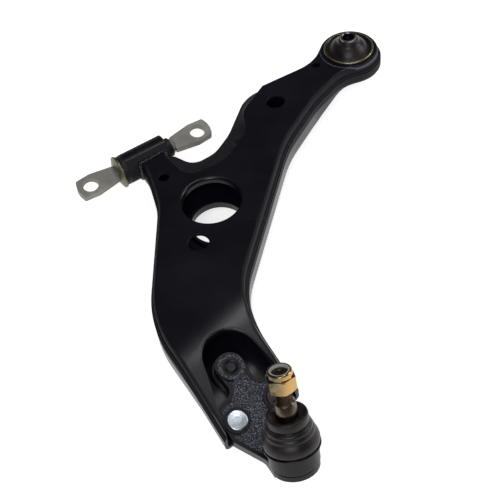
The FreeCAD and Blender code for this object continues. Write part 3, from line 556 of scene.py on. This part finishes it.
def turned(name, profile, steps, closed=False):
    """Spin a profile about Z, as an open shell or a closed ring."""
    obj = drawn_profile(name, profile)
    if closed:
        bpy.ops.mesh.select_all(action="DESELECT")
        mesh = bmesh.from_edit_mesh(obj.data)
        for vert in mesh.verts:
            vert.select = len(vert.link_edges) == 1
        bmesh.update_edit_mesh(obj.data)
        bpy.ops.mesh.edge_face_add()
    bpy.ops.mesh.select_all(action="SELECT")
    bpy.ops.mesh.spin(steps=steps, angle=math.tau, center=(0, 0, 0), axis=(0, 0, 1))
    bpy.ops.mesh.select_all(action="SELECT")
    bpy.ops.mesh.remove_doubles(threshold=MERGE)
    bpy.ops.mesh.normals_make_consistent(inside=False)
    bpy.ops.object.mode_set(mode="OBJECT")
    return obj


def arc(radius, middle, angles):
    """Profile points on a sphere centred at that height, at angles in degrees from straight down."""
    return [(radius * math.sin(a), middle - radius * math.cos(a)) for a in map(math.radians, angles)]


def smoothed(obj, degrees):
    only(obj)
    bpy.ops.object.shade_smooth_by_angle(angle=math.radians(degrees), keep_sharp_edges=False)


def evened(obj, degrees):
    """Smooth shading with the flats kept flat."""
    smoothed(obj, degrees)
    weigh = obj.modifiers.new("Even", "WEIGHTED_NORMAL")
    weigh.keep_sharp = True
    only(obj)
    bpy.ops.object.modifier_apply(modifier="Even")


def joined(name, parts):
    bpy.ops.object.select_all(action="DESELECT")
    for part in parts:
        part.select_set(True)
    bpy.context.view_layer.objects.active = parts[0]
    bpy.ops.object.join()
    parts[0].name = name
    return parts[0]


def cad_copy(node, name):
    """Merged copy of a CAD node's mesh, ready for editing."""
    source = frame["nodes"][node]
    obj = bpy.data.objects.new(name, source.data.copy())
    bpy.context.scene.collection.objects.link(obj)
    obj.data.transform(source.matrix_world)
    only(obj)
    if obj.data.has_custom_normals:
        bpy.ops.mesh.customdata_custom_splitnormals_clear()
    bpy.ops.object.mode_set(mode="EDIT")
    bpy.ops.mesh.select_all(action="SELECT")
    bpy.ops.mesh.remove_doubles(threshold=MERGE)
    bpy.ops.object.mode_set(mode="OBJECT")
    return obj


def coated(obj, material):
    obj.data.materials.clear()
    obj.data.materials.append(material)


def painted(node, material):
    """Give a CAD node its finish."""
    coated(frame["nodes"][node], material)


def dressed(obj, material, slot, body, *nodes):
    """Give a new piece its finish, its body and the CAD nodes that it stands for."""
    coated(obj, material)
    if body:
        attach(obj, body)
    if nodes:
        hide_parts(*nodes)


def bring_hole_forward(shell):
    """Move the round opening of the lower pressing towards the outer end and widen it, as in the photograph."""
    reach, floor_top = 29, -17  # millimetres round the hole, and height under which all belongs to it
    bpy.ops.object.mode_set(mode="EDIT")
    bpy.ops.mesh.select_all(action="DESELECT")
    mesh = bmesh.from_edit_mesh(shell.data)
    for vert in mesh.verts:
        out = math.hypot(vert.co.x / MM - BIG_HOLE.x, vert.co.y / MM - BIG_HOLE.y)
        vert.select = out < reach and vert.co.z / MM < floor_top
    mesh.select_flush_mode()
    bmesh.update_edit_mesh(shell.data)
    bpy.ops.transform.translate(value=(0, HOLE_FORWARD * MM, 0))
    middle = (BIG_HOLE.x * MM, (BIG_HOLE.y + HOLE_FORWARD) * MM, 0)
    bpy.ops.transform.resize(value=(HOLE_WIDER, HOLE_WIDER, 1), center_override=middle)
    bpy.ops.object.mode_set(mode="OBJECT")


class ARM_OT_pressings(bpy.types.Operator):
    """Coat the two pressings, the tube and the seam bead"""
    bl_idname = "control_arm.pressings"
    bl_label = "Pressings"

    def execute(self, context):
        coat = dip_coated_steel(context.scene.control_arm.coat)
        painted("front_bush_tube", coat)
        outward = (-math.sin(END_CUT_SKEW), math.cos(END_CUT_SKEW), 0)
        for node in ("top_shell", "bottom_shell", "seam_welds"):
            shell = cad_copy(node, node + "_trimmed")
            bpy.ops.object.mode_set(mode="EDIT")
            bpy.ops.mesh.select_all(action="SELECT")
            bpy.ops.mesh.bisect(plane_co=END_CUT * MM, plane_no=outward, use_fill=True, clear_outer=True)
            bpy.ops.object.mode_set(mode="OBJECT")
            if node == "bottom_shell":
                bring_hole_forward(shell)
            evened(shell, 30)
            dressed(shell, coat, "e_coat_weld" if node == "seam_welds" else "e_coat_black", "arm", node)
        return {"FINISHED"}


def weld_path(step):
    """Centres of the ripples round the joint between the tube and the neck, in millimetres."""
    long_bead, short_bead = 0.6, 0.5  # how far the middle of a bead stands off the tube
    low, top = (math.asin(height / TUBE_R) for height in NECK_Z)
    points = []
    x = NECK_X[0] + 0.4
    while x < NECK_X[1]:
        points.append((x, TUBE_R * math.cos(top) + long_bead, NECK_Z[1] + long_bead))
        points.append((x, TUBE_R * math.cos(low) + long_bead, NECK_Z[0] - long_bead))
        x += step
    turns = int((top - low) * TUBE_R / step)
    for i in range(1, turns):
        angle = low + (top - low) * i / turns
        for side in NECK_X:
            out = TUBE_R + short_bead
            points.append((side, out * math.cos(angle), out * math.sin(angle)))
    return points


class ARM_OT_tube_welds(bpy.types.Operator):
    """Lay the rippled weld bead round the neck of the front bush"""
    bl_idname = "control_arm.tube_welds"
    bl_label = "Tube welds"

    def execute(self, context):
        settings = context.scene.control_arm
        chance = random.Random(7)
        bead_radius = 2.2 * MM
        beads = []
        for x, y, z in weld_path(settings.shape.weld_step / MM):
            bpy.ops.object.select_all(action="DESELECT")
            bpy.ops.mesh.primitive_uv_sphere_add(segments=12, ring_count=8, radius=bead_radius)
            ripple = context.active_object
            size = [chance.uniform(0.75, 1.1), chance.uniform(0.85, 1.15), chance.uniform(0.8, 1.1)]
            spot = Vector((x + chance.uniform(-0.4, 0.4), y + chance.uniform(-0.3, 0.3), z)) * MM
            ripple.data.transform(Matrix.Translation(spot) @ Matrix.Diagonal((*size, 1)))
            beads.append(ripple)
        for i in range(9):  # drops of spatter
            bpy.ops.object.select_all(action="DESELECT")
            bpy.ops.mesh.primitive_uv_sphere_add(segments=8, ring_count=6, radius=chance.uniform(0.4, 0.8) * MM)
            drop = context.active_object
            angle = chance.uniform(0.75, 1.35)
            spot = Vector((chance.uniform(232, 266), TUBE_R * math.cos(angle), TUBE_R * math.sin(angle))) * MM
            drop.data.transform(Matrix.Translation(spot))
            beads.append(drop)
        bead = joined("tube_weld_beads", beads)
        smoothed(bead, 60)
        dressed(bead, dip_coated_weld(settings.coat), "e_coat_weld", "arm", "tube_welds")
        return {"FINISHED"}


def blade_edge(angle):
    """Distance from the hole's centre to the blade's outline, in millimetres, 0 pointing to the free end."""
    distances = []
    for nx, ny, reach in BLADE_SIDES:
        toward = nx * math.cos(angle) + ny * math.sin(angle)
        if toward > 1e-6:
            distances.append(reach / toward)
    return min(distances)


def pin_blade(sign):
    """Flat, bored end of the bar pin: a ring of faces between the hole and the outline, made thick and chamfered."""
    bpy.ops.object.select_all(action="DESELECT")
    bpy.ops.mesh.primitive_circle_add(vertices=96, radius=BLADE_HOLE_R * MM)
    blade = bpy.context.active_object
    blade.name = "bar_pin_blade"
    bpy.ops.object.mode_set(mode="EDIT")
    bpy.ops.mesh.select_all(action="SELECT")
    bpy.ops.mesh.extrude_edges_move(TRANSFORM_OT_translate={"value": (0, 0, 0)})
    mesh = bmesh.from_edit_mesh(blade.data)
    for vert in (v for v in mesh.verts if v.select):
        angle = math.atan2(vert.co.y, vert.co.x)
        vert.co = Vector((math.cos(angle), math.sin(angle), 0)) * blade_edge(angle) * MM
    bmesh.update_edit_mesh(blade.data)
    bpy.ops.mesh.select_all(action="SELECT")
    bpy.ops.mesh.extrude_region_move(TRANSFORM_OT_translate={"value": (0, 0, BLADE_THICK * MM)})
    bpy.ops.mesh.select_all(action="SELECT")
    bpy.ops.mesh.normals_make_consistent(inside=False)
    bpy.ops.mesh.select_all(action="DESELECT")
    mesh = bmesh.from_edit_mesh(blade.data)
    for edge in mesh.edges:
        level = abs(edge.verts[0].co.z - edge.verts[1].co.z) < MERGE
        square = len(edge.link_faces) == 2 and edge.calc_face_angle() > math.radians(70)
        edge.select = level and square
    bmesh.update_edit_mesh(blade.data)
    bpy.ops.mesh.bevel(offset=BLADE_CHAMFER * MM, segments=2, affect="EDGES")
    bpy.ops.object.mode_set(mode="OBJECT")
    turn = Matrix.Rotation(0 if sign > 0 else math.pi, 4, "Z")
    half_down = Matrix.Translation((0, 0, -BLADE_THICK / 2 * MM))
    blade.data.transform(Matrix.Translation((sign * HALF_PITCH * MM, 0, 0)) @ turn @ half_down)
    return blade


class ARM_OT_front_bush(bpy.types.Operator):
    """Finish the bar pin, its washer and the rubber of the front bush"""
    bl_idname = "control_arm.front_bush"
    bl_label = "Front bush"

    def execute(self, context):
        settings = context.scene.control_arm
        bar = turned("bar_pin_middle", [(0, -34), (5, -34), (8, -31), (8, 31), (5, 34), (0, 34)], 48)
        bar.data.transform(Matrix.Rotation(math.pi / 2, 4, "Y"))
        pin = joined("bar_pin_forged", [bar, pin_blade(1), pin_blade(-1)])
        pin.data.transform(Matrix.Translation((PIN_MID_X * MM, 0, 0)) @ Matrix.Rotation(-PIN_ROLL, 4, "X"))
        smoothed(pin, 32)
        dressed(pin, blasted_steel(settings.metal), "forged_steel", "bar_pin_group", "bar_pin")
        painted("stop_washer", plated("Yellow zinc washer", settings.metal.washer, linear("#6d6b57"), 0.42))
        painted("front_bush_outer_sleeve", turned_steel("Drawn steel sleeve", settings.metal.turned, 0.8 * MM))
        painted("front_bush_rubber", moulded_rubber(settings.rubber, "Moulded front bush rubber",
                                                    settings.rubber.rubber, 0.42))
        return {"FINISHED"}


class ARM_OT_rear_bush(bpy.types.Operator):
    """Finish the rear bush: ring, inner sleeve and the rubber in two pieces that slide on each other"""
    bl_idname = "control_arm.rear_bush"
    bl_label = "Rear bush"

    def execute(self, context):
        settings = context.scene.control_arm
        painted("rear_bush_outer_sleeve", plated("Yellow zinc ring", settings.metal.ring, linear("#6f6c55"), 0.3))
        sleeve = turned("rear_sleeve_turned", [
            (6.2, -21), (7.2, -22), (8.0, -22), (8.6, -21.4), (8.6, 26.3), (8.3, 26.8), (7.7, 27), (7.3, 26.9),
            (6.2, 25.6)], 72, closed=True)
        smoothed(sleeve, 40)
        dressed(sleeve, turned_steel("Turned steel sleeve", settings.metal.turned, 0.9 * MM), "bare_steel",
                "rear_sleeve", "rear_bush_inner_sleeve")
        # The dome tilts with the sleeve, so its outside is two spheres about the tilt axis, and clears the root
        under = arc(21.3, 0, range(34, 82, 6))
        over = arc(23.6, 0, range(104, 150, 5))
        dome = turned("rear_rubber_dome", [(8.75, -18.4), (10.6, -18.4), *under, *over, (11.2, 21.8),
                                           (10.3, 23.5), (9.6, 24.5), (8.75, 24.8)], 96, closed=True)
        root = turned("rear_rubber_moulded", [
            (19.4, -10.2), (21.5, -10), (23.8, -11), (23.8, 10.2), (22.8, 9.8), (21.9, 10.2), (21.0, 11.8),
            (20.2, 12.0), (19.4, 11.2)], 96, closed=True)
        for piece in (dome, root):
            smoothed(piece, 45)
        rubber = moulded_rubber(settings.rubber, "Moulded rear bush rubber", settings.rubber.rubber, 0.34)
        dressed(root, rubber, "black_rubber", "arm", "rear_bush_rubber")
        dressed(dome, rubber, "black_rubber", "rear_sleeve")
        return {"FINISHED"}


class ARM_OT_bracket(bpy.types.Operator):
    """Finish the forged bracket with its housing, cap and fixings"""
    bl_idname = "control_arm.bracket"
    bl_label = "Bracket and fixings"

    def execute(self, context):
        settings = context.scene.control_arm
        metal = settings.metal
        painted("ball_joint_housing", rough_forging(settings.coat))
        painted("end_cap", turned_steel("Pressed steel cap", metal.turned, 1.2 * MM))
        zinc_tint = linear("#b4bdca")
        painted("bracket_nuts", plated("Bright zinc fixings", metal.zinc, zinc_tint, 0.3))
        between = sum(corner.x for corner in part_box("bracket_studs")) / 2
        # The rear stud is coloured black, without metal; the front one is zinc
        painted("bracket_studs", plated("Zinc studs, rear one black", metal.zinc, zinc_tint, 0.3,
                                        settings.coat.forging, between))
        blacked = turned_steel("Coated bolt", linear("#3c3d42"), 0.8 * MM, 0.36)
        painted("bracket_bolt", blacked)
        collar = turned("tip_bolt_collar", [
            (3.6, 0.2), (6.3, 0.0), (6.3, 0.9), (5.9, 1.4), (5.5, 1.5), (4.6, 0.9), (4.1, 1.3), (3.8, 1.3),
            (3.6, 1.0)], 64, closed=True)
        tilt = Vector((0, 0, 1)).rotation_difference(slope_up()).to_matrix().to_4x4()
        collar.data.transform(Matrix.Translation(TIP * MM) @ tilt)
        smoothed(collar, 25)
        dressed(collar, blacked, "dark_steel", "arm")
        return {"FINISHED"}


def threaded(name, radius, depth, pitch, low, high):
    """Closed threaded length about Z, in millimetres: one turn of the profile screwed up and cut off square."""
    start = low - 2 * pitch
    obj = drawn_profile(name, [(radius, start), (radius - depth, start + pitch * 0.44),
                               (radius - depth, start + pitch * 0.56), (radius, start + pitch)])
    bpy.ops.object.mode_set(mode="OBJECT")
    screw = obj.modifiers.new("Thread", "SCREW")
    screw.angle = math.tau
    screw.screw_offset = pitch * MM
    screw.iterations = math.ceil((high - low) / pitch) + 4
    screw.steps = 40
    screw.render_steps = 40
    screw.use_merge_vertices = True
    screw.merge_threshold = MERGE
    only(obj)
    bpy.ops.object.modifier_apply(modifier="Thread")
    bpy.ops.object.mode_set(mode="EDIT")
    bpy.ops.mesh.select_all(action="SELECT")
    bpy.ops.mesh.remove_doubles(threshold=MERGE)
    for height, upper in ((low, False), (high, True)):
        bpy.ops.mesh.select_all(action="SELECT")
        bpy.ops.mesh.bisect(plane_co=(0, 0, height * MM), plane_no=(0, 0, 1), use_fill=True, clear_outer=upper,
                            clear_inner=not upper)
    bpy.ops.mesh.select_all(action="SELECT")
    bpy.ops.mesh.normals_make_consistent(inside=False)
    bpy.ops.object.mode_set(mode="OBJECT")
    return obj


class ARM_OT_ball_stud(bpy.types.Operator):
    """Cut the thread of the ball stud and finish the stud, the lock nut and its nylon ring"""
    bl_idname = "control_arm.ball_stud"
    bl_label = "Ball stud and nut"

    def execute(self, context):
        settings = context.scene.control_arm
        metal = settings.metal
        ball = arc(12.3, BALL_HEIGHT, range(30, 146, 5))
        shank = turned("ball_stud_shank", [
            (0, ball[0][1]), *ball, (7.0, 30.0), (7.0, 37.5), (7.4, 39.6), (9.0, 45.6), (9.5, 48.0), (9.6, 49.5),
            (9.6, 53.0), (8.75, 66.6), (8.5, 67.0), (6.6, 67.9), (6.1, 68.4), (6.1, 76.0), (6.1, 94.5),
            (5.9, 95.5), (3.2, 95.5), (2.6, 94.2), (0, 93.6)], 64)
        thread = threaded("ball_stud_thread", 7.0, 0.9, settings.shape.thread_pitch / MM, 68.6, 94.9)
        stud = joined("ball_stud_turned", [shank, thread])
        stud.data.transform(JOINT)
        smoothed(stud, 40)
        dressed(stud, turned_steel("Ground ball stud", metal.taper, 1.0 * MM, 0.26), "dark_steel", "stud",
                "ball_stud")
        seat = Matrix.Translation((0, 0, NUT_SEAT * MM)) @ Matrix.Rotation(NUT_TURN, 4, "Z")
        squat = Matrix.Diagonal((1, 1, NUT_SQUAT, 1)) @ Matrix.Translation((0, 0, -NUT_FOOT * MM))
        for node, material, slot in (("lock_nut", chromated_nut(metal), "yellow_zinc"),
                                     ("nylon_insert", moulded_nylon(settings.rubber), "nylon")):
            piece = cad_copy(node, node + "_seated")
            piece.data.transform(JOINT @ seat @ squat @ JOINT.inverted())
            evened(piece, 25)
            dressed(piece, material, slot, "stud", node)
        painted("preload_washer", turned_steel("Spring steel", metal.turned, 0.8 * MM))
        painted("ball_seat", moulded_nylon(settings.rubber))
        return {"FINISHED"}


class ARM_OT_gaiter(bpy.types.Operator):
    """Turn the gaiter with its folds and finish its two clamp rings"""
    bl_idname = "control_arm.gaiter"
    bl_label = "Gaiter"

    def execute(self, context):
        settings = context.scene.control_arm
        outside = [(19.9, 21.0), (22.9, 21.0), (23.4, 21.4), (23.4, 22.4), (22.6, 23.0), (22.35, 23.9),
                   (22.6, 24.8), (23.5, 25.6), (23.9, 27.5), (23.9, 29.6), (23.5, 31.8), (22.9, 33.6),
                   (22.1, 35.2), (21.4, 36.2), (20.9, 36.9), (20.7, 37.5), (20.9, 38.2), (20.8, 39.3),
                   (20.4, 40.3), (19.7, 41.0), (19.3, 41.6), (19.4, 42.3), (19.3, 43.4), (18.9, 44.4),
                   (18.1, 45.1), (17.4, 45.6), (16.9, 46.2), (16.8, 46.9), (17.3, 47.5), (17.5, 48.3),
                   (17.4, 51.0), (17.2, 53.6), (16.9, 54.6), (16.2, 55.1), (15.4, 55.0), (14.0, 53.8),
                   (12.2, 52.2), (10.9, 51.6), (9.75, 51.8)]
        inside = [(9.75, 49.6), (11.5, 49.4), (14.0, 50.0), (15.0, 48.0), (15.0, 45.6), (16.6, 42.5),
                  (18.4, 38.5), (21.0, 33.0), (21.6, 29.5), (21.3, 27.6), (20.2, 26.6), (19.9, 26.2)]
        gaiter = turned("moulded_gaiter", outside + inside, settings.shape.sides, closed=True)
        gaiter.data.transform(JOINT)
        smoothed(gaiter, 50)
        dressed(gaiter, moulded_rubber(settings.rubber, "Moulded gaiter rubber", settings.rubber.gaiter, 0.38),
                "gaiter_rubber", None, "dust_boot")
        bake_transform(gaiter)
        wire = turned_steel("Spring wire", linear("#2a2a2c"), 0.8 * MM)
        for node in ("boot_ring_lower", "boot_ring_upper"):
            painted(node, wire)
        return {"FINISHED"}


def pale_floor(settings):
    """Matt white studio board: keeps the soft shadow and lifts to white for the eye, metal and glass."""
    material, tree = new_material("White studio board")
    fibre = add(tree, "TexNoise", {"Vector": place(tree), "Scale": features(20 * MM), "Detail": 3,
                                   "Roughness": 0.55})
    paper = add(tree, "Mix", {MIX: fibre, FIRST: settings.floor, SECOND: shade(settings.floor, 0.99)}, out=MIXED,
                data_type="RGBA")
    path = add(tree, "LightPath").node.outputs
    mirrored = add(tree, "Math", (path["Is Glossy Ray"], path["Is Transmission Ray"]), operation="MAXIMUM")
    seen = add(tree, "Math", (path["Is Camera Ray"], mirrored), operation="MAXIMUM")
    lift = add(tree, "Emission", {"Strength": add(tree, "Math", (seen, 0.68), operation="MULTIPLY")})
    board = add(tree, "BsdfDiffuse", {"Color": paper})
    add(tree, "OutputMaterial", {"Surface": add(tree, "AddShader", (board, lift))})
    return material


def studio_world():
    """Dim wall all round under a pale ceiling, white for the eye."""
    world = bpy.data.worlds.new("Studio")
    bpy.context.scene.world = world
    world.use_nodes = True
    tree = world.node_tree
    tree.nodes.clear()
    height = add(tree, "SeparateXYZ", (add(tree, "TexCoord", out="Generated"),), out="Z")
    wall = add(tree, "MapRange", {"Value": height, "From Min": 0.0, "From Max": 0.3, "To Min": 0.14,
                                  "To Max": 0.07}, interpolation_type="SMOOTHSTEP")
    ceiling = add(tree, "MapRange", {"Value": height, "From Min": 0.84, "From Max": 0.95, "To Min": 0,
                                     "To Max": 0.5}, interpolation_type="SMOOTHSTEP")
    level = add(tree, "Math", (wall, ceiling), operation="ADD")
    seen = add(tree, "LightPath", out="Is Camera Ray")
    sky = add(tree, "Background", {"Color": (1, 1, 1, 1),
                                   "Strength": add(tree, "Math", (level, seen), operation="MAXIMUM")})
    add(tree, "OutputWorld", {"Surface": sky})


class ARM_OT_stage(bpy.types.Operator):
    """Set the pale floor, the soft studio light and the camera at the photograph's angle"""
    bl_idname = "control_arm.stage"
    bl_label = "Stage"

    def execute(self, context):
        settings = context.scene.control_arm.stage
        bpy.ops.object.select_all(action="DESELECT")
        bpy.ops.mesh.primitive_plane_add(size=14, location=(0.2, 0.15, CAD_BOX[0].z - 0.5 * MM))
        floor = context.active_object
        floor.name = "studio_floor"
        coated(floor, pale_floor(settings))
        studio_world()
        for name, at, aim, size, power in LAMPS:
            bpy.ops.object.light_add(type="AREA", location=at)
            lamp = context.active_object
            lamp.name = name
            lamp.data.size = size
            lamp.data.energy = power
            lamp.rotation_euler = (Vector(aim) - Vector(at)).to_track_quat("-Z", "Y").to_euler()
        bpy.ops.object.camera_add()
        camera = context.active_object
        camera.name = "photo_camera"
        camera.data.lens = settings.focal
        camera.data.sensor_width = 36
        back = CAMERA_BACK.normalized()
        up = (CAMERA_UP - back * CAMERA_UP.dot(back)).normalized()
        turn = Matrix((up.cross(back), up, back)).transposed().to_4x4()
        camera.matrix_world = Matrix.Translation(CAMERA_AT) @ turn
        context.scene.camera = camera
        context.scene.view_settings.view_transform = "Standard"
        return {"FINISHED"}


class ARM_PT_panel(bpy.types.Panel):
    """Steps that dress the control arm"""
    bl_idname = "ARM_PT_panel"
    bl_label = "Control arm"
    bl_space_type = "VIEW_3D"
    bl_region_type = "UI"
    bl_category = "Control arm"

    def draw(self, context):
        settings = context.scene.control_arm
        for group in (settings.coat, settings.metal, settings.rubber, settings.shape, settings.stage):
            box = self.layout.box()
            for name in group.bl_rna.properties.keys():
                if name not in ("rna_type", "name"):
                    box.prop(group, name)
        for step in STEPS:
            self.layout.operator(step.bl_idname)


STEPS = (ARM_OT_stage, ARM_OT_pressings, ARM_OT_tube_welds, ARM_OT_front_bush, ARM_OT_rear_bush, ARM_OT_bracket,
         ARM_OT_ball_stud, ARM_OT_gaiter)
CLASSES = (CoatSettings, MetalSettings, RubberSettings, ShapeSettings, StageSettings, ArmSettings, *STEPS,
           ARM_PT_panel)


def register():
    for item in CLASSES:
        bpy.utils.register_class(item)
    bpy.types.Scene.control_arm = PointerProperty(type=ArmSettings)


def unregister():
    del bpy.types.Scene.control_arm
    for item in reversed(CLASSES):
        bpy.utils.unregister_class(item)


def main():
    register()
    for step in STEPS:
        group, name = step.bl_idname.split(".")
        getattr(getattr(bpy.ops, group), name)()


if __name__ == "__main__":
    main()
